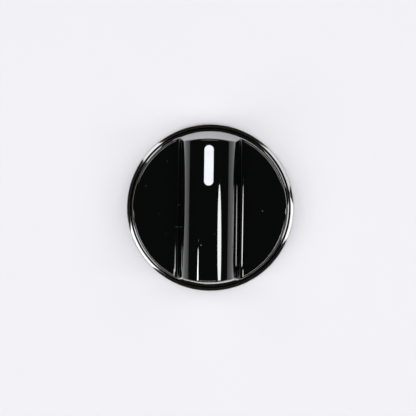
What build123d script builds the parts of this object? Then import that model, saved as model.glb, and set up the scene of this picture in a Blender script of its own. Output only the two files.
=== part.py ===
from build123d import *
from math import asin, cos, radians, sin, tan
import os

os.makedirs("parts", exist_ok=True)

# A cooker knob: a gloss black moulding with a grip bar, a chrome trim ring, a white pointer mark
# and the spring band of its hub. Millimetres, +Z out of the cooker's panel, the pointer end of the
# bar at +Y, and the origin at the centre of the rim that faces the panel.

# Body: a tapered drum with both sides cleared away for the fingers, which leaves a bar across it
knob_height = 26.5
body_draft = 6.1  # degrees from upright
land_height = 10.8  # the flat finger lands on both sides of the bar
crown_radius = 16.0  # flatter arc along the crest of the bar
crest_width = 2.5  # width of that arc
shoulder_radius = 6.1  # round from the crest into the bar's sides
bar_draft = 7.5  # degrees from upright
foot_radius = 1.4  # sweep from the bar's sides to the finger lands
edge_radius = 0.45  # soft edge round the upper end of the drum's wall
wall = 2.4

# Trim ring
ring_diameter = 45.0
ring_reach = 0.98  # from the drum's wall out to the ring's edge
ring_top = 2.6
ring_bottom = 0.6
ring_seat_step = 0.8  # the body steps in by this much under the ring
ring_shoulder = 0.6  # from the ring's upper edge down to the shoulder that it butts against
ring_face_drop = 0.3  # the ring's face falls by this much to its outer edge
ring_face_bulge = 0.02
ring_gap = 0.05  # between the ring and the body
lip_gap = 0.15  # open line between the ring's lip and the drum
ring_chamfer = 0.25

# Snap beads that hold the ring up against its shoulder
bead_count = 6
bead_arc = 12.0  # degrees
bead_reach = 0.35
bead_land = 0.15  # height of the bead's outer face

# Pointer mark, a white inlay in the crest of the bar
mark_width = 2.5
mark_length = 10.7
mark_end_gap = 1.7  # from the mark's tip to the drum's wall
mark_depth = 0.8
mark_gap = 0.02

# Hub with a socket for a D-shaped spindle
spindle_diameter = 8.0
spindle_across_flat = 6.5
spindle_gap = 0.05
socket_depth = 17.0
socket_lead = 0.5  # lead-in at the socket's mouth
relief_diameter = 5.0  # core hole above the socket, whose step stops the spindle
hub_wall = 2.2
hub_recess = 0.8  # the hub's mouth stands this far inside the rim
slit_width = 1.0
slit_length = 7.0

# Spring band round the slit end of the hub
band_width = 3.0
band_thickness = 0.6
band_sink = 0.4  # depth of its groove
band_offset = 0.8  # from the hub's mouth
band_opening = 60.0  # degrees, on the side away from the spindle's flat
band_gap = 0.02

# Ribs between the hub and the drum's wall
rib_count = 4
rib_thickness = 1.4
rib_start_angle = 45.0
rib_clearance = 0.4  # above the spring band

# Places that follow from these sizes
body_taper = tan(radians(body_draft))
ring_radius = ring_diameter / 2
body_radius = ring_radius - ring_reach  # where the drum leaves the trim ring
crest_turn = asin(crest_width / 2 / crown_radius)
crown_z = knob_height - crown_radius
shoulder_x = (crown_radius - shoulder_radius) * sin(crest_turn)
shoulder_z = crown_z + (crown_radius - shoulder_radius) * cos(crest_turn)
seat_radius = body_radius - ring_seat_step
shoulder_height = ring_top - ring_shoulder
spindle_radius = spindle_diameter / 2 + spindle_gap
flat_offset = spindle_across_flat - spindle_diameter / 2 + spindle_gap
hub_radius = spindle_radius + hub_wall
socket_top = hub_recess + socket_depth
band_bottom = hub_recess + band_offset
groove_radius = hub_radius - band_sink
band_radius = groove_radius + band_gap
rib_bottom = band_bottom + band_width + rib_clearance


def drum_radius(height):
    """Radius of the drum's wall at a height."""
    return body_radius - (height - ring_top) * body_taper


def grip_form(inset):
    """The drum with its grip bar, drawn in by an inset on every side but the rim."""
    top = knob_height - inset
    land = land_height - inset
    crown = crown_radius - inset
    shoulder = shoulder_radius - inset
    lean = radians(bar_draft)
    crest_end = (crown * sin(crest_turn), crown_z + crown * cos(crest_turn))
    side_top = (shoulder_x + shoulder * cos(lean), shoulder_z + shoulder * sin(lean))
    halfway = (crest_turn + radians(90) - lean) / 2
    middle = (shoulder_x + shoulder * sin(halfway), shoulder_z + shoulder * cos(halfway))
    foot = (side_top[0] + (side_top[1] - land) * tan(lean), land)
    clear = 2 * ring_diameter
    with BuildPart() as form:
        with BuildSketch(Plane.XZ):
            with BuildLine():
                Polyline(
                    (0, 0),
                    (drum_radius(0) - inset, 0),
                    (drum_radius(top) - inset, top),
                    (0, top),
                    close=True,
                )
            make_face()
        revolve(axis=Axis.Z)
        with BuildSketch(Plane.XZ) as finger_room:
            with Locations((0, land)):
                Rectangle(clear, clear, align=(Align.CENTER, Align.MIN))
            with BuildLine():
                Line((0, land), foot)
                Line(foot, side_top)
                ThreePointArc(side_top, middle, crest_end)
                mirror(about=Plane.YZ)
                ThreePointArc(crest_end, (0, top), (-crest_end[0], crest_end[1]))
            make_face(mode=Mode.SUBTRACT)
            feet = finger_room.vertices().group_by(Axis.Y)[0].sort_by(Axis.X)[1:3]
            fillet(feet, foot_radius + inset)
        extrude(amount=clear, both=True, mode=Mode.SUBTRACT)
    return form.part


mark_centre = drum_radius(knob_height) - mark_end_gap - mark_length / 2

# The hollow of the body: the same form one wall smaller, less the hub and its ribs
with BuildPart() as hollow:
    add(grip_form(wall))
    with BuildSketch(Plane.XY.offset(hub_recess)):
        Circle(hub_radius)
    extrude(amount=knob_height, mode=Mode.SUBTRACT)
    with BuildSketch(Plane.XY.offset(rib_bottom)):
        with PolarLocations(0, rib_count, start_angle=rib_start_angle):
            Rectangle(ring_diameter, rib_thickness, align=(Align.MIN, Align.CENTER))
    extrude(amount=knob_height, mode=Mode.SUBTRACT)

with BuildPart() as knob_body:
    add(grip_form(0))
    drum_wall = knob_body.faces().filter_by(GeomType.CONE).sort_by(SortBy.AREA)[-1]
    upper_edges = drum_wall.edges().filter_by_position(Axis.Z, land_height - edge_radius, 2 * knob_height)
    fillet(upper_edges, edge_radius)
    # Seat and shoulder of the trim ring
    with BuildSketch():
        Circle(ring_diameter)
        Circle(seat_radius, mode=Mode.SUBTRACT)
    extrude(amount=shoulder_height, mode=Mode.SUBTRACT)
    # Hollow underside
    add(hollow.part, mode=Mode.SUBTRACT)
    # D-shaped socket and the core hole above it
    with BuildSketch(Plane.XY.offset(hub_recess)):
        Circle(spindle_radius)
        with Locations((0, flat_offset)):
            Rectangle(2 * hub_radius, hub_radius, align=(Align.CENTER, Align.MIN), mode=Mode.SUBTRACT)
    extrude(amount=socket_depth, mode=Mode.SUBTRACT)
    with BuildSketch(Plane.XY.offset(socket_top)):
        Circle(relief_diameter / 2)
    extrude(amount=knob_height - wall - socket_top, mode=Mode.SUBTRACT)
    mouth = knob_body.faces().filter_by(Plane.XY).sort_by(lambda face: abs(face.center().Z - hub_recess))[0]
    chamfer(mouth.inner_wires()[0].edges(), socket_lead)
    # Slits beside the flat, which free a tongue that bears on the spindle
    with BuildSketch(Plane.XY.offset(hub_recess)):
        with Locations((0, flat_offset)):
            Rectangle(2 * hub_radius, slit_width, align=(Align.CENTER, Align.MAX))
    extrude(amount=slit_length, mode=Mode.SUBTRACT)
    # Groove of the spring band
    with BuildSketch(Plane.XY.offset(band_bottom - band_gap)):
        Circle(hub_radius + band_sink)
        Circle(groove_radius, mode=Mode.SUBTRACT)
    extrude(amount=band_width + 2 * band_gap, mode=Mode.SUBTRACT)
    # Snap beads under the trim ring
    with BuildSketch(Plane.XZ):
        with BuildLine():
            Polyline(
                (seat_radius - bead_reach, 0),
                (seat_radius, 0),
                (seat_radius + bead_reach, ring_bottom - ring_gap - bead_land),
                (seat_radius + bead_reach, ring_bottom - ring_gap),
                (seat_radius - bead_reach, ring_bottom - ring_gap),
                close=True,
            )
        make_face()
    bead = revolve(axis=Axis.Z, revolution_arc=bead_arc, mode=Mode.PRIVATE)
    with PolarLocations(0, bead_count):
        add(bead)
    # Recess of the pointer mark
    with BuildSketch(Plane.XY.offset(knob_height - mark_depth)):
        with Locations((0, mark_centre)):
            SlotOverall(mark_length, mark_width, rotation=90)
    extrude(amount=knob_height, mode=Mode.SUBTRACT)
knob_body.part.label = "knob_body"
export_step(knob_body.part, "parts/knob_body.step")

# Chrome trim ring with a crowned, falling face and a lip that hides the shoulder
lip_radius = drum_radius(shoulder_height) + lip_gap
with BuildPart() as trim_ring:
    with BuildSketch(Plane.XZ):
        with BuildLine():
            Polyline(
                (lip_radius, ring_top),
                (lip_radius, shoulder_height),
                (seat_radius + ring_gap, shoulder_height),
                (seat_radius + ring_gap, ring_bottom),
                (ring_radius, ring_bottom),
                (ring_radius, ring_top - ring_face_drop),
            )
            SagittaArc((ring_radius, ring_top - ring_face_drop), (lip_radius, ring_top), ring_face_bulge)
        make_face()
    revolve(axis=Axis.Z)
    chamfer(trim_ring.edges().group_by(Axis.Z)[0].sort_by(SortBy.LENGTH)[-1], ring_chamfer)
trim_ring.part.label = "trim_ring"
export_step(trim_ring.part, "parts/trim_ring.step")

# White pointer mark, flush with the crest of the bar
with BuildPart() as pointer_mark:
    with BuildSketch(Plane.XY.offset(knob_height - mark_depth)):
        with Locations((0, mark_centre)):
            SlotOverall(mark_length - 2 * mark_gap, mark_width - 2 * mark_gap, rotation=90)
    extrude(amount=knob_height)
    add(grip_form(0), mode=Mode.INTERSECT)
pointer_mark.part.label = "pointer_mark"
export_step(pointer_mark.part, "parts/pointer_mark.step")

# Open band of spring steel that draws the hub's tongue onto the spindle
opening_reach = 2 * hub_radius
opening_half = opening_reach * tan(radians(band_opening / 2))
with BuildPart() as hub_spring:
    with BuildSketch(Plane.XY.offset(band_bottom)):
        Circle(band_radius + band_thickness)
        Circle(band_radius, mode=Mode.SUBTRACT)
        with BuildLine():
            Polyline((0, 0), (-opening_half, -opening_reach), (opening_half, -opening_reach), close=True)
        make_face(mode=Mode.SUBTRACT)
    extrude(amount=band_width)
hub_spring.part.label = "hub_spring"
export_step(hub_spring.part, "parts/hub_spring.step")
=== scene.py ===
from math import acos, asin, atan2, cos, hypot, pi, radians, sin, sqrt, tan

import bmesh
import bpy
from mathutils import Matrix, Vector


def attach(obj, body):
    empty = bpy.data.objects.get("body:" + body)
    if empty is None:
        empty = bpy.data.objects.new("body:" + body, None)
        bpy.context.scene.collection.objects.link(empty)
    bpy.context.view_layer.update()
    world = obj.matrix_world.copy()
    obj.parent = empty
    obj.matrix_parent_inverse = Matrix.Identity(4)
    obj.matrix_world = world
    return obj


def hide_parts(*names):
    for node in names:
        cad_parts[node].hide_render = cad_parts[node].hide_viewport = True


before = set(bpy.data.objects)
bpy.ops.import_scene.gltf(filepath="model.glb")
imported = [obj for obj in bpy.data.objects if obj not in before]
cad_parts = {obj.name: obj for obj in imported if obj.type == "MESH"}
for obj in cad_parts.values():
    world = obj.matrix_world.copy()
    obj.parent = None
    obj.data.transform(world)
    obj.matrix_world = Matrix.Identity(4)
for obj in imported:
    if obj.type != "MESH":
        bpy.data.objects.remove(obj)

bl_info = {
    "name": "Stove knob",
    "version": (1, 0, 0),
    "blender": (4, 5, 0),
    "location": "3D View > Sidebar > Stove knob",
    "description": "Gloss black stove knob with a chrome trim ring, a white pointer mark and a hub spring",
    "category": "Object",
}

MM = 0.001
DRUM_BASE = 2.6 * MM  # height at which the drum's radius is given, level with the top of the trim ring


def length(name, description, millimetres):
    return bpy.props.FloatProperty(
        name=name, description=description, default=millimetres * MM, unit="LENGTH", subtype="DISTANCE", precision=5
    )


def angle(name, description, degrees):
    return bpy.props.FloatProperty(name=name, description=description, default=radians(degrees), subtype="ANGLE")


def count(name, description, number):
    return bpy.props.IntProperty(name=name, description=description, default=number, min=1)


def colour(name, description, red, green, blue):
    return bpy.props.FloatVectorProperty(
        name=name, description=description, default=(red, green, blue, 1), size=4, subtype="COLOR", min=0, max=1
    )


def factor(name, description, value):
    return bpy.props.FloatProperty(name=name, description=description, default=value, min=0, max=1, subtype="FACTOR")


class BodySizes(bpy.types.PropertyGroup):
    height: length("Height", "From the rim to the crest of the bar", 26.5)
    drum_radius: length("Drum radius", "Where the drum leaves the trim ring", 21.52)
    drum_draft: angle("Drum draft", "Lean of the drum's wall from upright", 6.1)
    wall: length("Wall", "Thickness of the moulding", 2.4)
    land_height: length("Land height", "Height of the flat finger lands", 10.8)
    crown_radius: length("Crown radius", "Flatter arc along the crest of the bar", 16.0)
    crest_width: length("Crest width", "Width of the crest's arc", 2.5)
    side_round: length("Side round", "Round from the crest into the bar's sides", 6.1)
    bar_draft: angle("Bar draft", "Lean of the bar's sides from upright", 7.5)
    foot_radius: length("Foot radius", "Sweep from the bar's sides to the lands", 1.4)
    edge_radius: length("Edge radius", "Soft edge at the upper end of the drum's wall", 0.45)
    seat_radius: length("Seat radius", "Where the trim ring sits", 20.72)
    shoulder_height: length("Shoulder height", "Shoulder that the trim ring butts against", 2.0)
    hub_radius: length("Hub radius", "Outside of the hub", 6.25)
    hub_recess: length("Hub recess", "From the rim up to the hub's mouth", 0.8)
    socket_radius: length("Socket radius", "Round side of the spindle socket", 4.05)
    socket_flat: length("Socket flat", "From the axis to the socket's flat side", 2.55)
    socket_top: length("Socket top", "Height of the socket's closed end", 17.8)
    socket_lead: length("Socket lead-in", "Chamfer at the socket's mouth", 0.5)
    relief_radius: length("Relief radius", "Core hole above the socket", 2.5)
    slit_width: length("Slit width", "Slits beside the hub's tongue", 1.0)
    slit_length: length("Slit length", "Length of the slits from the hub's mouth", 7.0)
    groove_radius: length("Groove radius", "Floor of the groove for the spring", 5.85)
    groove_bottom: length("Groove bottom", "Lower side of the groove", 1.58)
    groove_width: length("Groove width", "Width of the groove", 3.04)
    rib_count: count("Ribs", "Ribs between the hub and the drum", 4)
    rib_thickness: length("Rib thickness", "Thickness of a rib", 1.4)
    rib_bottom: length("Rib bottom", "Lower edge of the ribs", 5.0)
    rib_start: angle("First rib", "Direction of the first rib", 45)
    bead_count: count("Snap beads", "Beads that hold the trim ring up", 6)
    bead_arc: angle("Bead arc", "Length of a bead round the seat", 12)
    bead_reach: length("Bead reach", "How far a bead stands out from the seat", 0.35)
    bead_height: length("Bead height", "Upper side of a bead", 0.55)
    bead_land: length("Bead land", "Height of a bead's outer face", 0.15)


class RingSizes(bpy.types.PropertyGroup):
    radius: length("Radius", "Outer edge of the ring", 22.5)
    top: length("Top", "Upper edge of the ring", 2.6)
    bottom: length("Bottom", "Lower face of the ring", 0.6)
    lip_radius: length("Lip radius", "Inside of the lip round the drum", 21.7341)
    bore_radius: length("Bore radius", "Inside of the ring on its seat", 20.77)
    face_drop: length("Face drop", "Fall of the face to its outer edge", 0.3)
    face_bulge: length("Face bulge", "Crown of the face", 0.02)
    chamfer: length("Chamfer", "Chamfer at the lower edge", 0.25)
    edge_round: length("Edge round", "Soft edges of the plating", 0.03)


class MarkSizes(bpy.types.PropertyGroup):
    width: length("Width", "Width of the recess for the mark", 2.5)
    length: length("Length", "Length of the recess for the mark", 10.7)
    centre: length("Centre", "From the knob's axis to the middle of the mark", 11.9158)
    depth: length("Depth", "Depth of the recess below the crest", 0.8)
    gap: length("Gap", "Clearance round the mark", 0.02)
    edge_round: length("Edge round", "Soft upper edge of the mark", 0.05)


class SpringSizes(bpy.types.PropertyGroup):
    radius: length("Radius", "Inside of the band", 5.87)
    thickness: length("Thickness", "Thickness of the band", 0.6)
    bottom: length("Bottom", "Lower edge of the band", 1.6)
    width: length("Width", "Width of the band", 3.0)
    opening: angle("Opening", "Gap between the band's ends", 60)
    edge_round: length("Edge round", "Soft edges of the band", 0.08)


class KnobFinish(bpy.types.PropertyGroup):
    black: colour("Gloss black", "Body colour", 0.0020, 0.0026, 0.0026)
    chrome: colour("Chrome", "Plating of the trim ring", 0.72, 0.72, 0.73)
    white: colour("Pointer white", "Pointer mark", 0.78, 0.80, 0.89)
    steel: colour("Spring steel", "Band round the hub", 0.50, 0.49, 0.47)
    dust: colour("Dust", "Specks and worn spots", 0.42, 0.41, 0.39)
    # Near-black colour laid on the ring's lip: painted shade in the gap between the lip and the drum
    dirt_and_painted_shade: colour("Painted lip shade", "Painted shade in the open line inside the ring", 0.012, 0.011, 0.009)
    black_roughness: factor("Black roughness", "Gloss of the black moulding", 0.008)
    chrome_roughness: factor("Chrome roughness", "Gloss of the plating", 0.03)


class StageSettings(bpy.types.PropertyGroup):
    floor: colour("Floor", "Plain pale floor", 0.83, 0.825, 0.86)
    # Floor colour far from the knob: the floor is painted darker with distance, as painted shade for light falling off
    painted_falloff_floor: colour("Painted falloff floor", "The floor away from the knob", 0.45, 0.45, 0.47)
    surround: colour("Surround", "Dim room above the lights", 0.016, 0.0152, 0.0122)
    backdrop: colour("Backdrop", "What the camera sees beyond the floor", 0.72, 0.72, 0.74)
    camera_range: bpy.props.FloatProperty(
        name="Camera range", description="From the trim ring to the camera", default=0.897, unit="LENGTH"
    )
    camera_focal: bpy.props.FloatProperty(
        name="Focal length", description="Lens of the camera", default=287.0, subtype="DISTANCE_CAMERA"
    )


def mesh_object(name, points, faces):
    mesh = bpy.data.meshes.new(name)
    mesh.from_pydata([tuple(p) for p in points], [], faces)
    mesh.update()
    obj = bpy.data.objects.new(name, mesh)
    bpy.context.scene.collection.objects.link(obj)
    return obj


def close_up(obj, merge=0.2e-6):
    """Merge doubles, close what is open and turn the faces outwards."""
    bm = bmesh.new()
    bm.from_mesh(obj.data)
    bmesh.ops.remove_doubles(bm, verts=bm.verts, dist=merge)
    bmesh.ops.dissolve_degenerate(bm, edges=bm.edges, dist=merge)
    bmesh.ops.holes_fill(bm, edges=[e for e in bm.edges if e.is_boundary], sides=0)
    bmesh.ops.recalc_face_normals(bm, faces=bm.faces)
    bm.to_mesh(obj.data)
    bm.free()
    obj.data.update()
    return obj


def settle(obj):
    """Turn the object's modifiers into plain mesh."""
    graph = bpy.context.evaluated_depsgraph_get()
    plain = bpy.data.meshes.new_from_object(obj.evaluated_get(graph))
    worn_out = obj.data
    obj.modifiers.clear()
    obj.data = plain
    bpy.data.meshes.remove(worn_out)
    plain.name = obj.name
    return obj


def carve(body, tool, operation="DIFFERENCE"):
    boolean = body.modifiers.new("Carve", "BOOLEAN")
    boolean.solver = "EXACT"
    boolean.operation = operation
    boolean.object = tool
    settle(body)
    bpy.data.objects.remove(tool)


def smooth_off(obj, sharp=32, bevel=0.0):
    """Round the corners if asked, then shade smooth between sharp edges with flats kept flat."""
    if bevel:
        rounding = obj.modifiers.new("Soft edges", "BEVEL")
        rounding.width = bevel
        rounding.segments = 3
        rounding.limit_method = "ANGLE"
        rounding.angle_limit = radians(sharp)
        settle(obj)
    bm = bmesh.new()
    bm.from_mesh(obj.data)
    for face in bm.faces:
        face.smooth = True
    for edge in bm.edges:
        edge.smooth = edge.calc_face_angle(0.0) < radians(sharp)
    bm.to_mesh(obj.data)
    bm.free()
    weighted = obj.modifiers.new("Flats stay flat", "WEIGHTED_NORMAL")
    weighted.keep_sharp = True
    weighted.weight = 100
    settle(obj)


def prism(name, levels):
    """Closed solid through outlines that have the same number of points."""
    points = [p for outline in levels for p in outline]
    size = len(levels[0])
    faces = [
        (row * size + i, row * size + (i + 1) % size, (row + 1) * size + (i + 1) % size, (row + 1) * size + i)
        for row in range(len(levels) - 1)
        for i in range(size)
    ]
    return close_up(mesh_object(name, points, faces))


def circle(radius, height, steps=96):
    return [(radius * cos(2 * pi * i / steps), radius * sin(2 * pi * i / steps), height) for i in range(steps)]


def slot_outline(width, length, centre, height, steps=28):
    """Outline along Y with round ends."""
    reach = (length - width) / 2
    outline = []
    for end, start in ((1, 0), (-1, pi)):
        for i in range(steps + 1):
            turn = start + pi * i / steps
            outline.append((width / 2 * cos(turn), centre + end * reach + width / 2 * sin(turn), height))
    return outline


def turned_slice(section, turn):
    """One slice of a solid of revolution, from a closed section of radius and height."""
    points = [(r * cos(a), r * sin(a), z) for a in (0, turn) for r, z in section]
    size = len(section)
    faces = [(i, size + i, size + (i + 1) % size, (i + 1) % size) for i in range(size)]
    return points, faces


def round_the_axis_tree():
    """Geometry Nodes tree that repeats its mesh round the knob's axis."""
    name = "Round the axis"
    if name in bpy.data.node_groups:
        return bpy.data.node_groups[name]
    tree = bpy.data.node_groups.new(name, "GeometryNodeTree")
    face = tree.interface
    face.new_socket("Mesh", in_out="INPUT", socket_type="NodeSocketGeometry")
    face.new_socket("Count", in_out="INPUT", socket_type="NodeSocketInt")
    face.new_socket("Step", in_out="INPUT", socket_type="NodeSocketFloat")
    face.new_socket("Start", in_out="INPUT", socket_type="NodeSocketFloat")
    face.new_socket("Merge distance", in_out="INPUT", socket_type="NodeSocketFloat")
    face.new_socket("Material", in_out="INPUT", socket_type="NodeSocketMaterial")
    face.new_socket("Mesh", in_out="OUTPUT", socket_type="NodeSocketGeometry")
    given = tree.nodes.new("NodeGroupInput")
    points = tree.nodes.new("GeometryNodePoints")
    index = tree.nodes.new("GeometryNodeInputIndex")
    turn = tree.nodes.new("ShaderNodeMath")
    turn.operation = "MULTIPLY_ADD"
    about_z = tree.nodes.new("ShaderNodeCombineXYZ")
    instances = tree.nodes.new("GeometryNodeInstanceOnPoints")
    realize = tree.nodes.new("GeometryNodeRealizeInstances")
    merge = tree.nodes.new("GeometryNodeMergeByDistance")
    finish = tree.nodes.new("GeometryNodeSetMaterial")
    result = tree.nodes.new("NodeGroupOutput")
    link = tree.links.new
    link(given.outputs["Count"], points.inputs["Count"])
    link(index.outputs["Index"], turn.inputs[0])
    link(given.outputs["Step"], turn.inputs[1])
    link(given.outputs["Start"], turn.inputs[2])
    link(turn.outputs["Value"], about_z.inputs["Z"])
    link(points.outputs["Points"], instances.inputs["Points"])
    link(given.outputs["Mesh"], instances.inputs["Instance"])
    link(about_z.outputs["Vector"], instances.inputs["Rotation"])
    link(instances.outputs["Instances"], realize.inputs["Geometry"])
    link(realize.outputs["Geometry"], merge.inputs["Geometry"])
    link(given.outputs["Merge distance"], merge.inputs["Distance"])
    link(merge.outputs["Geometry"], finish.inputs["Geometry"])
    link(given.outputs["Material"], finish.inputs["Material"])
    link(finish.outputs["Geometry"], result.inputs["Mesh"])
    return tree


def repeat_round_axis(obj, number, step, start=0.0, merge=0.2e-6, material=None):
    tree = round_the_axis_tree()
    repeat = obj.modifiers.new("Round the axis", "NODES")
    repeat.node_group = tree
    values = {"Count": number, "Step": step, "Start": start, "Merge distance": merge, "Material": material}
    for socket in tree.interface.items_tree:
        if socket.in_out == "INPUT" and socket.name in values:
            repeat[socket.identifier] = values[socket.name]
    return settle(obj)


def side_round_centre(size):
    """Half the turn of the crest's arc, and the centre of the round that follows it."""
    turn = asin(size.crest_width / 2 / size.crown_radius)
    arm = size.crown_radius - size.side_round
    return turn, arm * sin(turn), size.height - size.crown_radius + arm * cos(turn)


def crest_height(size, x):
    """Height of the bar's top at a distance from its middle."""
    if abs(x) < size.crest_width / 2:
        return size.height - size.crown_radius + sqrt(size.crown_radius**2 - x * x)
    turn, centre_x, centre_z = side_round_centre(size)
    return centre_z + sqrt(size.side_round**2 - (abs(x) - centre_x) ** 2)


def bar_profile(size, inset, flat_steps, rim):
    """Half of the grip's cross-section from the rim of a land to the crest: x, z and the outward normal.

    The lands are stepped evenly round the rim, whose radius there is given.
    """
    land = size.land_height - inset
    crown = size.crown_radius - inset
    side = size.side_round - inset
    foot = size.foot_radius + inset
    lean = size.bar_draft
    crest_turn, centre_x, centre_z = side_round_centre(size)
    tangent = (centre_x + side * cos(lean), centre_z + side * sin(lean))
    foot_z = land + foot
    foot_x = tangent[0] + (tangent[1] - foot_z) * tan(lean) + foot / cos(lean)
    last = acos(foot_x / rim)
    samples = [(rim * cos(last * i / flat_steps), land, 0.0, 1.0) for i in range(flat_steps)]
    foot_steps, wall_steps, side_steps, crest_steps = 16, 8, 36, 4
    for i in range(foot_steps + 1):
        turn = (pi / 2 - lean) * i / foot_steps
        samples.append((foot_x - foot * sin(turn), foot_z - foot * cos(turn), sin(turn), cos(turn)))
    low = samples[-1]
    for i in range(1, wall_steps):
        t = i / wall_steps
        x = low[0] + (tangent[0] - low[0]) * t
        z = low[1] + (tangent[1] - low[1]) * t
        samples.append((x, z, cos(lean), sin(lean)))
    for i in range(side_steps + 1):
        turn = lean + (pi / 2 - crest_turn - lean) * i / side_steps
        samples.append((centre_x + side * cos(turn), centre_z + side * sin(turn), cos(turn), sin(turn)))
    for i in range(1, crest_steps + 1):
        turn = pi / 2 - crest_turn + crest_turn * i / crest_steps
        samples.append((crown * cos(turn), size.height - size.crown_radius + crown * sin(turn), cos(turn), sin(turn)))
    return samples


def grip_form(name, size, inset, edge, skirt, top_steps=10, edge_steps=8, wall_steps=6):
    """The drum with its grip bar, drawn in by an inset, with a rolling-ball edge and a skirt below its wall.

    The skirt is a list of radius and height pairs that carry the wall on downwards.
    """
    taper = tan(size.drum_draft)
    level = skirt[0][1]

    def drum(z):
        return size.drum_radius - inset - (z - DRUM_BASE) * taper

    rim = drum(size.land_height - inset - edge) - edge / cos(size.drum_draft)
    flat_steps = 56
    half = bar_profile(size, inset, flat_steps, rim)
    profile = half + [(-x, z, -nx, nz) for x, z, nx, nz in reversed(half[:-1])]
    run = [0.0]
    for a, b in zip(half[flat_steps:], half[flat_steps + 1 :]):
        run.append(run[-1] + hypot(b[0] - a[0], b[1] - a[1]))
    foot_turn = acos(half[flat_steps][0] / rim)
    spread = [None] * flat_steps + [foot_turn + (pi / 2 - foot_turn) * s / run[-1] for s in run]
    spread += [t if t is None else pi - t for t in reversed(spread[:-1])]
    sections = []
    for (x, z, nx, nz), below in zip(profile, spread):
        cx, cz = x - edge * nx, z - edge * nz
        reach = drum(cz) - edge / cos(size.drum_draft)
        cy = sqrt(max(reach * reach - cx * cx, 0.0))
        around = atan2(cy, cx)
        below = around if below is None else below
        out = Vector((cos(around) * cos(size.drum_draft), sin(around) * cos(size.drum_draft), sin(size.drum_draft)))
        up = Vector((nx, 0.0, nz))
        side = []
        if edge:
            between = acos(max(-1.0, min(1.0, up.dot(out))))
            for i in range(1, edge_steps + 1):
                t = i / edge_steps
                ray = (up * sin((1 - t) * between) + out * sin(t * between)) / sin(between)
                side.append(Vector((cx, cy, cz)) + ray * edge)
            brink = side[-1].z
        else:
            brink = z
        for i in range(1, wall_steps + 1):
            t = i / wall_steps
            lower = brink + (level - brink) * t
            turn = around + (below - around) * t
            side.append(Vector((drum(lower) * cos(turn), drum(lower) * sin(turn), lower)))
        for radius, lower in skirt[1:]:
            side.append(Vector((radius * cos(below), radius * sin(below), lower)))
        across = [Vector((x, -cy + 2 * cy * i / top_steps, z)) for i in range(top_steps + 1)]
        sections.append([Vector((p.x, -p.y, p.z)) for p in reversed(side)] + across + side)
    size_of = len(sections[0])
    faces = [
        (c * size_of + r, (c + 1) * size_of + r, (c + 1) * size_of + r + 1, c * size_of + r + 1)
        for c in range(len(sections) - 1)
        for r in range(size_of - 1)
    ]
    return close_up(mesh_object(name, [p for s in sections for p in s], faces), 2e-6)


def put(tree, kind, inputs=None, **settings):
    """Add a node, set its settings and its unlinked inputs, and link what comes from other nodes."""
    made = tree.nodes.new(kind)
    for key, value in settings.items():
        setattr(made, key, value)
    for key, value in (inputs or {}).items():
        if isinstance(value, bpy.types.NodeSocket):
            tree.links.new(value, made.inputs[key])
        else:
            made.inputs[key].default_value = value
    return made


def group_tree(name, inputs, outputs):
    tree = bpy.data.node_groups.new(name, "ShaderNodeTree")
    for label, kind, default in inputs:
        socket = tree.interface.new_socket(label, in_out="INPUT", socket_type=kind)
        if default is not None:
            socket.default_value = default
    for label, kind in outputs:
        tree.interface.new_socket(label, in_out="OUTPUT", socket_type=kind)
    return tree, tree.nodes.new("NodeGroupInput"), tree.nodes.new("NodeGroupOutput")


def handling_marks_group():
    """Hairline scratches and wiped haze, as masks. The vector is in millimetres."""
    name = "Handling marks"
    if name in bpy.data.node_groups:
        return bpy.data.node_groups[name]
    tree, given, result = group_tree(
        name,
        [
            ("Vector", "NodeSocketVector", None),
            ("Hairline size", "NodeSocketFloat", 1.0),
            ("Haze size", "NodeSocketFloat", 1.0),
        ],
        [("Hairlines", "NodeSocketFloat"), ("Haze", "NodeSocketFloat")],
    )
    fine = put(tree, "ShaderNodeVectorMath", {0: given.outputs["Vector"]}, operation="SCALE")
    tree.links.new(given.outputs["Hairline size"], fine.inputs["Scale"])
    strokes = []
    for lean, stretch in ((0.5, (0.16, 7.0, 2.0)), (2.2, (0.22, 9.0, 2.0)), (1.35, (0.12, 6.0, 2.0))):
        laid = put(tree, "ShaderNodeMapping", {"Vector": fine.outputs[0], "Rotation": (0.3, 0.2, lean)})
        drawn = put(tree, "ShaderNodeVectorMath", {0: laid.outputs[0], 1: stretch}, operation="MULTIPLY")
        noise = put(tree, "ShaderNodeTexNoise", {"Vector": drawn.outputs[0], "Scale": 1.0, "Detail": 1.0})
        line = put(tree, "ShaderNodeMapRange", {"Value": noise.outputs[0], "From Min": 0.685, "From Max": 0.74})
        strokes.append(line.outputs[0])
    pair = put(tree, "ShaderNodeMath", {0: strokes[0], 1: strokes[1]}, operation="MAXIMUM")
    lines = put(tree, "ShaderNodeMath", {0: pair.outputs[0], 1: strokes[2]}, operation="MAXIMUM", use_clamp=True)
    broad = put(tree, "ShaderNodeVectorMath", {0: given.outputs["Vector"]}, operation="SCALE")
    tree.links.new(given.outputs["Haze size"], broad.inputs["Scale"])
    cloud = put(
        tree, "ShaderNodeTexNoise", {"Vector": broad.outputs[0], "Scale": 0.16, "Detail": 3.0, "Distortion": 0.6}
    )
    haze = put(tree, "ShaderNodeMapRange", {"Value": cloud.outputs[0], "From Min": 0.42, "From Max": 0.72})
    tree.links.new(lines.outputs[0], result.inputs["Hairlines"])
    tree.links.new(haze.outputs[0], result.inputs["Haze"])
    return tree


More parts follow.
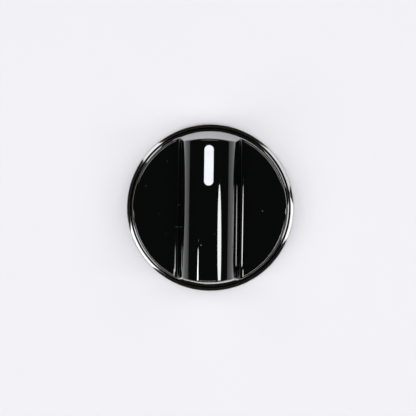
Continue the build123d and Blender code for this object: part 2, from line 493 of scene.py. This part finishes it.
def dust_group():
    """Scattered specks of several sizes, as a mask. The vector is in millimetres."""
    name = "Dust specks"
    if name in bpy.data.node_groups:
        return bpy.data.node_groups[name]
    tree, given, result = group_tree(
        name,
        [("Vector", "NodeSocketVector", None), ("Spacing", "NodeSocketFloat", 1.6), ("Speck", "NodeSocketFloat", 0.1)],
        [("Specks", "NodeSocketFloat")],
    )
    pitch = put(tree, "ShaderNodeMath", {0: 1.0, 1: given.outputs["Spacing"]}, operation="DIVIDE")
    cells = put(tree, "ShaderNodeTexVoronoi", {"Vector": given.outputs["Vector"], "Scale": pitch.outputs[0]})
    lot = put(tree, "ShaderNodeSeparateColor", {"Color": cells.outputs["Color"]})
    rare = put(tree, "ShaderNodeMath", {0: lot.outputs[0], 1: 5.0}, operation="POWER")
    reach = put(tree, "ShaderNodeMath", {0: rare.outputs[0], 1: given.outputs["Speck"]}, operation="MULTIPLY")
    speck = put(
        tree,
        "ShaderNodeMapRange",
        {"Value": cells.outputs["Distance"], "From Min": reach.outputs[0], "From Max": 0.0, "To Max": 1.0},
    )
    sharp = put(tree, "ShaderNodeMath", {0: speck.outputs[0], 1: 2.5}, operation="MULTIPLY", use_clamp=True)
    tree.links.new(sharp.outputs[0], result.inputs["Specks"])
    return tree


def new_material(name):
    material = bpy.data.materials.new(name)
    material.use_nodes = True
    tree = material.node_tree
    tree.nodes.clear()
    surface = tree.nodes.new("ShaderNodeBsdfPrincipled")
    output = tree.nodes.new("ShaderNodeOutputMaterial")
    tree.links.new(surface.outputs[0], output.inputs["Surface"])
    place = tree.nodes.new("ShaderNodeTexCoord")
    millimetres = put(tree, "ShaderNodeVectorMath", {0: place.outputs["Object"], "Scale": 1000.0}, operation="SCALE")
    return material, tree, surface, millimetres.outputs[0]


def use_group(tree, group, inputs):
    return put(tree, "ShaderNodeGroup", inputs, node_tree=group)


def blend_colours(tree, mask, low, high):
    made = put(tree, "ShaderNodeMix", data_type="RGBA")
    tree.links.new(mask, made.inputs[0])
    for socket, value in ((made.inputs[6], low), (made.inputs[7], high)):
        if isinstance(value, bpy.types.NodeSocket):
            tree.links.new(value, socket)
        else:
            socket.default_value = value
    return made.outputs[2]


def weighted_sum(tree, start, *terms):
    """start plus each mask times its weight."""
    total = start
    for mask, weight in terms:
        step = put(tree, "ShaderNodeMath", {0: mask, 1: weight, 2: total}, operation="MULTIPLY_ADD")
        total = step.outputs[0]
    return total


# Worn spots that the photograph shows: centre in millimetres, half length, half width, lean
WORN_SPOTS = (
    ((-8.1, -5.0, 10.8), 1.25, 0.10, 0.02),
    ((-1.75, -9.1, 26.4), 0.22, 0.16, 0.0),
    ((-8.4, 0.9, 10.8), 0.20, 0.16, 0.5),
    ((14.2, -0.4, 10.8), 0.22, 0.15, 0.8),
)


def gloss_black(finish):
    material, tree, surface, place = new_material("Gloss black moulding")
    marks = use_group(tree, handling_marks_group(), {"Vector": place, "Hairline size": 1.0, "Haze size": 1.0})
    dust = use_group(tree, dust_group(), {"Vector": place, "Spacing": 1.9, "Speck": 0.11})
    worn = None
    for centre, half_length, half_width, lean in WORN_SPOTS:
        moved = put(tree, "ShaderNodeVectorMath", {0: place, 1: centre}, operation="SUBTRACT")
        laid = put(tree, "ShaderNodeVectorRotate", {"Vector": moved.outputs[0], "Angle": lean}, rotation_type="Z_AXIS")
        fitted = put(
            tree,
            "ShaderNodeVectorMath",
            {0: laid.outputs[0], 1: (1 / half_length, 1 / half_width, 1.0)},
            operation="MULTIPLY",
        )
        spot = put(tree, "ShaderNodeTexGradient", {"Vector": fitted.outputs[0]}, gradient_type="SPHERICAL")
        if worn is None:
            worn = spot.outputs["Fac"]
        else:
            worn = put(tree, "ShaderNodeMath", {0: worn, 1: spot.outputs["Fac"]}, operation="MAXIMUM").outputs[0]
    specks = put(tree, "ShaderNodeMath", {0: dust.outputs[0], 1: 0.10}, operation="MULTIPLY").outputs[0]
    pale = weighted_sum(tree, specks, (worn, 0.45))
    tree.links.new(blend_colours(tree, pale, tuple(finish.black), tuple(finish.dust)), surface.inputs["Base Color"])
    rough = weighted_sum(
        tree,
        finish.black_roughness,
        (marks.outputs["Haze"], 0.006),
        (marks.outputs["Hairlines"], 0.02),
        (pale, 0.6),
    )
    tree.links.new(rough, surface.inputs["Roughness"])
    peel = put(tree, "ShaderNodeTexNoise", {"Vector": place, "Scale": 0.55, "Detail": 2.0})
    height = weighted_sum(tree, 0.0, (peel.outputs[0], 0.15), (marks.outputs["Hairlines"], -0.03), (pale, 0.5))
    bump = put(tree, "ShaderNodeBump", {"Height": height, "Strength": 0.35, "Distance": 0.00001})
    tree.links.new(bump.outputs[0], surface.inputs["Normal"])
    surface.inputs["IOR"].default_value = 1.68
    return material


def bright_chrome(finish, lip):
    """Plating, with painted shade darkening the open line inside the lip, whose radius is given in millimetres."""
    material, tree, surface, place = new_material("Bright chrome plating")
    marks = use_group(tree, handling_marks_group(), {"Vector": place, "Hairline size": 1.4, "Haze size": 1.8})
    dust = use_group(tree, dust_group(), {"Vector": place, "Spacing": 1.5, "Speck": 0.10})
    warm = tuple(c * w for c, w in zip(finish.chrome, (0.96, 0.93, 0.86, 1.0)))
    tint = blend_colours(tree, marks.outputs["Haze"], tuple(finish.chrome), warm)
    specks = put(tree, "ShaderNodeMath", {0: dust.outputs[0], 1: 0.5}, operation="MULTIPLY").outputs[0]
    dusted = blend_colours(tree, specks, tint, tuple(finish.dust))
    flat = put(tree, "ShaderNodeVectorMath", {0: place, 1: (1.0, 1.0, 0.0)}, operation="MULTIPLY")
    radius = put(tree, "ShaderNodeVectorMath", {0: flat.outputs[0]}, operation="LENGTH")
    # Painted shade: the plating turns near-black from just outside the lip inwards, standing in for the shade in the
    # gap between the lip and the drum
    inside = put(
        tree,
        "ShaderNodeMapRange",
        {"Value": radius.outputs["Value"], "From Min": lip + 0.06, "From Max": lip - 0.02},
    )
    dirt_and_painted_shade = inside.outputs[0]
    tree.links.new(blend_colours(tree, dirt_and_painted_shade, dusted, tuple(finish.dirt_and_painted_shade)), surface.inputs["Base Color"])
    rough = weighted_sum(
        tree,
        finish.chrome_roughness,
        (marks.outputs["Haze"], 0.03),
        (marks.outputs["Hairlines"], 0.10),
        (specks, 0.4),
        (dirt_and_painted_shade, 0.5),
    )
    tree.links.new(rough, surface.inputs["Roughness"])
    ripple = put(tree, "ShaderNodeTexNoise", {"Vector": place, "Scale": 1.1, "Detail": 2.0})
    height = weighted_sum(tree, 0.0, (ripple.outputs[0], 0.5), (marks.outputs["Hairlines"], -0.3))
    bump = put(tree, "ShaderNodeBump", {"Height": height, "Strength": 0.3, "Distance": 0.00001})
    tree.links.new(bump.outputs[0], surface.inputs["Normal"])
    surface.inputs["Metallic"].default_value = 1.0
    return material


def pointer_white(finish):
    material, tree, surface, place = new_material("Pointer white")
    marks = use_group(tree, handling_marks_group(), {"Vector": place, "Hairline size": 1.6, "Haze size": 2.2})
    dust = use_group(tree, dust_group(), {"Vector": place, "Spacing": 1.1, "Speck": 0.12})
    dull = tuple(c * w for c, w in zip(finish.white, (0.93, 0.93, 0.92, 1.0)))
    shade = blend_colours(tree, marks.outputs["Haze"], tuple(finish.white), dull)
    dirt_and_painted_shade = weighted_sum(tree, 0.0, (dust.outputs[0], 0.25), (marks.outputs["Hairlines"], 0.08))
    tree.links.new(blend_colours(tree, dirt_and_painted_shade, shade, tuple(finish.dust)), surface.inputs["Base Color"])
    rough = weighted_sum(tree, 0.30, (marks.outputs["Haze"], 0.12), (marks.outputs["Hairlines"], 0.10))
    tree.links.new(rough, surface.inputs["Roughness"])
    grain = put(tree, "ShaderNodeTexNoise", {"Vector": place, "Scale": 4.0, "Detail": 3.0})
    bump = put(tree, "ShaderNodeBump", {"Height": grain.outputs[0], "Strength": 0.25, "Distance": 0.00001})
    tree.links.new(bump.outputs[0], surface.inputs["Normal"])
    return material


def spring_steel(finish):
    material, tree, surface, place = new_material("Spring steel")
    marks = use_group(tree, handling_marks_group(), {"Vector": place, "Hairline size": 1.2, "Haze size": 2.5})
    drawn = put(tree, "ShaderNodeVectorMath", {0: place, 1: (0.35, 0.35, 16.0)}, operation="MULTIPLY")
    brushed = put(tree, "ShaderNodeTexNoise", {"Vector": drawn.outputs[0], "Scale": 1.0, "Detail": 4.0})
    dark = tuple(c * 0.72 for c in finish.steel[:3]) + (1.0,)
    tree.links.new(
        blend_colours(tree, brushed.outputs[0], dark, tuple(finish.steel)), surface.inputs["Base Color"]
    )
    rough = weighted_sum(tree, 0.16, (brushed.outputs[0], 0.22), (marks.outputs["Haze"], 0.10))
    tree.links.new(rough, surface.inputs["Roughness"])
    bump = put(tree, "ShaderNodeBump", {"Height": brushed.outputs[0], "Strength": 0.3, "Distance": 0.00003})
    tree.links.new(bump.outputs[0], surface.inputs["Normal"])
    surface.inputs["Metallic"].default_value = 1.0
    return material


def pale_floor(stage):
    material, tree, surface, place = new_material("Pale floor")
    mottle = put(tree, "ShaderNodeTexNoise", {"Vector": place, "Scale": 0.02, "Detail": 3.0})
    light = tuple(min(1.0, c * 1.02) for c in stage.floor[:3]) + (1.0,)
    near = blend_colours(tree, mottle.outputs[0], tuple(stage.floor), light)
    # Painted shade: the floor darkens from 80 mm to 500 mm from the knob, standing in for light falling off with
    # distance
    away = put(tree, "ShaderNodeVectorMath", {0: place}, operation="LENGTH")
    painted_falloff = put(tree, "ShaderNodeMapRange", {"Value": away.outputs["Value"], "From Min": 80.0, "From Max": 500.0})
    tree.links.new(blend_colours(tree, painted_falloff.outputs[0], near, tuple(stage.painted_falloff_floor)), surface.inputs["Base Color"])
    surface.inputs["Roughness"].default_value = 0.65
    surface.inputs["Specular IOR Level"].default_value = 0.2
    return material


def dress(obj, material, node):
    obj.data.materials.clear()
    obj.data.materials.append(material)
    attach(obj, "root")
    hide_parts(node)


class STOVE_KNOB_OT_body(bpy.types.Operator):
    """Make the black moulding with its grip bar, hollow underside, hub, ribs and snap beads"""

    bl_idname = "stove_knob.body"
    bl_label = "Body"

    def execute(self, context):
        size = context.scene.knob_body
        ring = context.scene.knob_ring
        mark = context.scene.knob_mark
        taper = tan(size.drum_draft)
        shoulder = size.shoulder_height
        at_shoulder = size.drum_radius + (ring.top - shoulder) * taper
        skirt = [(0, ring.top), (at_shoulder, shoulder), (size.seat_radius, shoulder), (size.seat_radius, 0)]
        body = grip_form("knob_body_moulding", size, 0.0, size.edge_radius, skirt)
        hollow = grip_form("hollow", size, size.wall, 0.0, [(0, -MM)], top_steps=4, wall_steps=2)
        high = size.height + 5 * MM
        carve(hollow, prism("hub", [circle(size.hub_radius, size.hub_recess), circle(size.hub_radius, high)]))
        half = size.rib_thickness / 2
        start, end = 3 * MM, 24 * MM  # inside the hub and past the drum's wall
        outline = [(start, -half), (end, -half), (end, half), (start, half)]
        rib = prism("rib", [[(x, y, z) for x, y in outline] for z in (size.rib_bottom, high)])
        repeat_round_axis(rib, size.rib_count, 2 * pi / size.rib_count, size.rib_start)
        carve(hollow, rib)
        carve(body, hollow)
        carve(body, self.socket(size))
        relief = size.relief_radius
        core = [circle(relief, size.socket_top - MM, 64), circle(relief, size.height - size.wall, 64)]
        carve(body, prism("relief", core))
        near, far = size.socket_flat - size.slit_width, size.socket_flat
        wide = size.hub_radius + 0.5 * MM
        cut = [(-wide, near), (wide, near), (wide, far), (-wide, far)]
        heights = (-MM, size.hub_recess + size.slit_length)
        carve(body, prism("slits", [[(x, y, z) for x, y in cut] for z in heights]))
        low, top = size.groove_bottom, size.groove_bottom + size.groove_width
        inside, outside = size.groove_radius, size.hub_radius + MM
        band = [(inside, low), (outside, low), (outside, top), (inside, top)]
        steps = 96
        groove = mesh_object("groove", *turned_slice(band, 2 * pi / steps))
        carve(body, repeat_round_axis(groove, steps, 2 * pi / steps))
        carve(body, self.beads(size), "UNION")
        floor = size.height - mark.depth
        recess = [slot_outline(mark.width, mark.length, mark.centre, z) for z in (floor, high)]
        carve(body, prism("recess", recess))
        close_up(body, 1e-6)
        smooth_off(body)
        dress(body, gloss_black(context.scene.knob_finish), "knob_body")
        return {"FINISHED"}

    def socket(self, size):
        """D-shaped spindle socket with a lead-in at its mouth."""
        mouth = size.hub_recess
        lead = size.socket_lead
        steps = 72
        levels = []
        for grown, z in ((lead, -MM), (lead, mouth), (0.0, mouth + lead), (0.0, size.socket_top)):
            radius, flat = size.socket_radius + grown, size.socket_flat + grown
            corner = asin(flat / radius)
            sweep = pi + 2 * corner
            turns = [pi - corner + sweep * i / steps for i in range(steps + 1)]
            levels.append([(radius * cos(t), radius * sin(t), z) for t in turns])
        return prism("socket", levels)

    def beads(self, size):
        """Snap beads under the trim ring."""
        reach, seat = size.bead_reach, size.seat_radius
        section = [
            (seat - reach, 0.0),
            (seat, 0.0),
            (seat + reach, size.bead_height - size.bead_land),
            (seat + reach, size.bead_height),
            (seat - reach, size.bead_height),
        ]
        steps = 12
        bead = mesh_object("bead", *turned_slice(section, size.bead_arc / steps))
        repeat_round_axis(bead, steps, size.bead_arc / steps)
        close_up(bead)
        return repeat_round_axis(bead, size.bead_count, 2 * pi / size.bead_count)


class STOVE_KNOB_OT_ring(bpy.types.Operator):
    """Make the chrome trim ring with its crowned, falling face"""

    bl_idname = "stove_knob.ring"
    bl_label = "Trim ring"

    def execute(self, context):
        size = context.scene.knob_ring
        shoulder = context.scene.knob_body.shoulder_height
        section = [
            (size.lip_radius, size.top),
            (size.lip_radius, shoulder),
            (size.bore_radius, shoulder),
            (size.bore_radius, size.bottom),
            (size.radius - size.chamfer, size.bottom),
            (size.radius, size.bottom + size.chamfer),
        ]
        outer = Vector((size.radius, size.top - size.face_drop))
        inner = Vector((size.lip_radius, size.top))
        chord = inner - outer
        swell = Vector((-chord.y, chord.x)).normalized() * -size.face_bulge
        face_steps = 10
        for i in range(face_steps):
            t = i / face_steps
            section.append(tuple(outer + chord * t + swell * 4 * t * (1 - t)))
        steps = 256
        ring = mesh_object("trim_ring_chrome", *turned_slice(section, 2 * pi / steps))
        repeat_round_axis(ring, steps, 2 * pi / steps)
        close_up(ring)
        smooth_off(ring, bevel=size.edge_round)
        dress(ring, bright_chrome(context.scene.knob_finish, size.lip_radius / MM), "trim_ring")
        return {"FINISHED"}


class STOVE_KNOB_OT_mark(bpy.types.Operator):
    """Make the white pointer mark, flush with the crest of the bar"""

    bl_idname = "stove_knob.mark"
    bl_label = "Pointer mark"

    def execute(self, context):
        size = context.scene.knob_mark
        body = context.scene.knob_body
        width, full = size.width - 2 * size.gap, size.length - 2 * size.gap
        foot = slot_outline(width, full, size.centre, body.height - size.depth)
        levels = [foot]
        for share in (1.0, 0.85, 0.65, 0.42, 0.2, 0.0):
            narrow = width * share
            ring = slot_outline(narrow, full - width + narrow, size.centre, 0.0)
            levels.append([(x, y, crest_height(body, x)) for x, y, _ in ring])
        mark = prism("pointer_mark_inlay", levels)
        smooth_off(mark, bevel=size.edge_round)
        dress(mark, pointer_white(context.scene.knob_finish), "pointer_mark")
        return {"FINISHED"}


class STOVE_KNOB_OT_spring(bpy.types.Operator):
    """Make the open steel band round the hub"""

    bl_idname = "stove_knob.spring"
    bl_label = "Hub spring"

    def execute(self, context):
        size = context.scene.knob_spring
        inside, outside = size.radius, size.radius + size.thickness
        top = size.bottom + size.width
        section = [(inside, size.bottom), (outside, size.bottom), (outside, top), (inside, top)]
        steps = 96
        turn = (2 * pi - size.opening) / steps
        band = mesh_object("hub_spring_band", *turned_slice(section, turn))
        repeat_round_axis(band, steps, turn, size.opening / 2 - pi / 2)
        close_up(band)
        smooth_off(band, bevel=size.edge_round)
        dress(band, spring_steel(context.scene.knob_finish), "hub_spring")
        return {"FINISHED"}


def facing(back, up):
    """Turn of a light or camera whose back is towards one direction and whose top is up."""
    right = Vector(up).cross(back).normalized()
    return Matrix((right, back.cross(right), back)).transposed().to_quaternion()


class STOVE_KNOB_OT_stage(bpy.types.Operator):
    """Set the floor, the soft lights and the camera"""

    bl_idname = "stove_knob.stage"
    bl_label = "Stage"

    # Name, shape, azimuth, elevation, width and height seen from the knob in degrees, radiance, piece passed by
    lights = (
        ("Lamp right", "ELLIPSE", -4.1, 48.0, 4.4, 20.0, 13.5, "trim_ring_chrome"),
        ("Lamp left", "ELLIPSE", 188.2, 55.0, 6.4, 6.5, 23.0, "trim_ring_chrome"),
        ("Panel right", "RECTANGLE", -11.5, 48.0, 30.0, 24.0, 1.5, "knob_body_moulding"),
        ("Panel upper right", "RECTANGLE", 30.5, 48.0, 36.0, 24.0, 0.9, "knob_body_moulding"),
        ("Panel lower left", "RECTANGLE", 213.0, 48.0, 34.0, 24.0, 1.7, "knob_body_moulding"),
        ("Panel upper left", "RECTANGLE", 140.0, 48.0, 18.0, 24.0, 1.2, "knob_body_moulding"),
        ("Softbox top", "RECTANGLE", 90.0, 79.0, 138.0, 10.0, 7.6, "trim_ring_chrome"),
        ("Softbox bottom", "RECTANGLE", 270.0, 79.0, 138.0, 10.0, 9.2, "trim_ring_chrome"),
    )

    def execute(self, context):
        stage = context.scene.knob_stage
        half = 4.0  # metres
        corners = [(-half, -half, 0), (half, -half, 0), (half, half, 0), (-half, half, 0)]
        floor = mesh_object("floor", corners, [(0, 1, 2, 3)])
        floor.data.materials.append(pale_floor(stage))
        away = 1.6  # metres from the knob to each light
        for name, shape, azimuth, elevation, wide, tall, radiance, passed in self.lights:
            lamp = bpy.data.lights.new(name, "AREA")
            lamp.shape = shape
            lamp.size = 2 * away * tan(radians(wide / 2)) * cos(radians(elevation))
            lamp.size_y = 2 * away * tan(radians(tall / 2))
            fill = pi / 4 if shape == "ELLIPSE" else 1.0
            lamp.energy = radiance * pi * lamp.size * lamp.size_y * fill
            obj = bpy.data.objects.new(name, lamp)
            a, e = radians(azimuth), radians(elevation)
            towards = Vector((cos(a) * cos(e), sin(a) * cos(e), sin(e)))
            obj.location = towards * away
            obj.rotation_mode = "QUATERNION"
            obj.rotation_quaternion = facing(towards, (0, 0, 1))
            obj.visible_camera = False
            context.scene.collection.objects.link(obj)
            self.pass_by(obj, bpy.data.objects.get(passed))
        self.surround(context.scene, stage)
        camera = bpy.data.cameras.new("Camera")
        camera.lens = stage.camera_focal
        camera.clip_start = 0.01
        view = bpy.data.objects.new("Camera", camera)
        aim = Vector((-0.0006, -0.0001, 0.002))
        back = Vector((0.0212, 0.0320, 0.9992)).normalized()
        up = (-0.014, 1, 0)  # the bar leans a little to the right in the photograph
        view.location = aim + back * stage.camera_range
        view.rotation_mode = "QUATERNION"
        view.rotation_quaternion = facing(back, up)
        context.scene.collection.objects.link(view)
        context.scene.camera = view
        context.scene.view_settings.view_transform = "Standard"
        return {"FINISHED"}

    def pass_by(self, light, piece):
        """Keep a light off one piece, so that the black and the chrome each mirror lights of their own."""
        if piece is None:
            return
        kept_off = bpy.data.collections.new("Without " + light.name)
        kept_off.objects.link(piece)
        kept_off.collection_objects[0].light_linking.link_state = "EXCLUDE"
        light.light_linking.receiver_collection = kept_off

    def surround(self, scene, stage):
        """A dim room for the reflections and a pale backdrop for the camera."""
        world = bpy.data.worlds.new("Surround")
        world.use_nodes = True
        tree = world.node_tree
        tree.nodes.clear()
        dim = put(tree, "ShaderNodeBackground", {"Color": tuple(stage.surround), "Strength": 1.0})
        pale = put(tree, "ShaderNodeBackground", {"Color": tuple(stage.backdrop), "Strength": 1.0})
        path = tree.nodes.new("ShaderNodeLightPath")
        mix = put(
            tree,
            "ShaderNodeMixShader",
            {0: path.outputs["Is Camera Ray"], 1: dim.outputs[0], 2: pale.outputs[0]},
        )
        put(tree, "ShaderNodeOutputWorld", {"Surface": mix.outputs[0]})
        scene.world = world


class STOVE_KNOB_PT_panel(bpy.types.Panel):
    """Sizes, finishes and makers of the stove knob"""

    bl_idname = "STOVE_KNOB_PT_panel"
    bl_label = "Stove knob"
    bl_space_type = "VIEW_3D"
    bl_region_type = "UI"
    bl_category = "Stove knob"

    def draw(self, context):
        scene = context.scene
        parts = (
            (STOVE_KNOB_OT_body, scene.knob_body),
            (STOVE_KNOB_OT_ring, scene.knob_ring),
            (STOVE_KNOB_OT_mark, scene.knob_mark),
            (STOVE_KNOB_OT_spring, scene.knob_spring),
            (STOVE_KNOB_OT_stage, scene.knob_stage),
        )
        for maker, sizes in parts:
            box = self.layout.box()
            box.operator(maker.bl_idname)
            for name in type(sizes).__annotations__:
                box.prop(sizes, name)
        box = self.layout.box()
        for name in KnobFinish.__annotations__:
            box.prop(scene.knob_finish, name)


SETTINGS = (
    ("knob_body", BodySizes),
    ("knob_ring", RingSizes),
    ("knob_mark", MarkSizes),
    ("knob_spring", SpringSizes),
    ("knob_finish", KnobFinish),
    ("knob_stage", StageSettings),
)
CLASSES = (
    STOVE_KNOB_OT_body,
    STOVE_KNOB_OT_ring,
    STOVE_KNOB_OT_mark,
    STOVE_KNOB_OT_spring,
    STOVE_KNOB_OT_stage,
    STOVE_KNOB_PT_panel,
)


def register():
    for name, group in SETTINGS:
        bpy.utils.register_class(group)
        setattr(bpy.types.Scene, name, bpy.props.PointerProperty(type=group))
    for cls in CLASSES:
        bpy.utils.register_class(cls)


def unregister():
    for cls in reversed(CLASSES):
        bpy.utils.unregister_class(cls)
    for name, group in reversed(SETTINGS):
        delattr(bpy.types.Scene, name)
        bpy.utils.unregister_class(group)


def main():
    register()
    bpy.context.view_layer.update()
    bpy.ops.stove_knob.body()
    bpy.ops.stove_knob.ring()
    bpy.ops.stove_knob.mark()
    bpy.ops.stove_knob.spring()
    bpy.ops.stove_knob.stage()


if __name__ == "__main__":
    main()
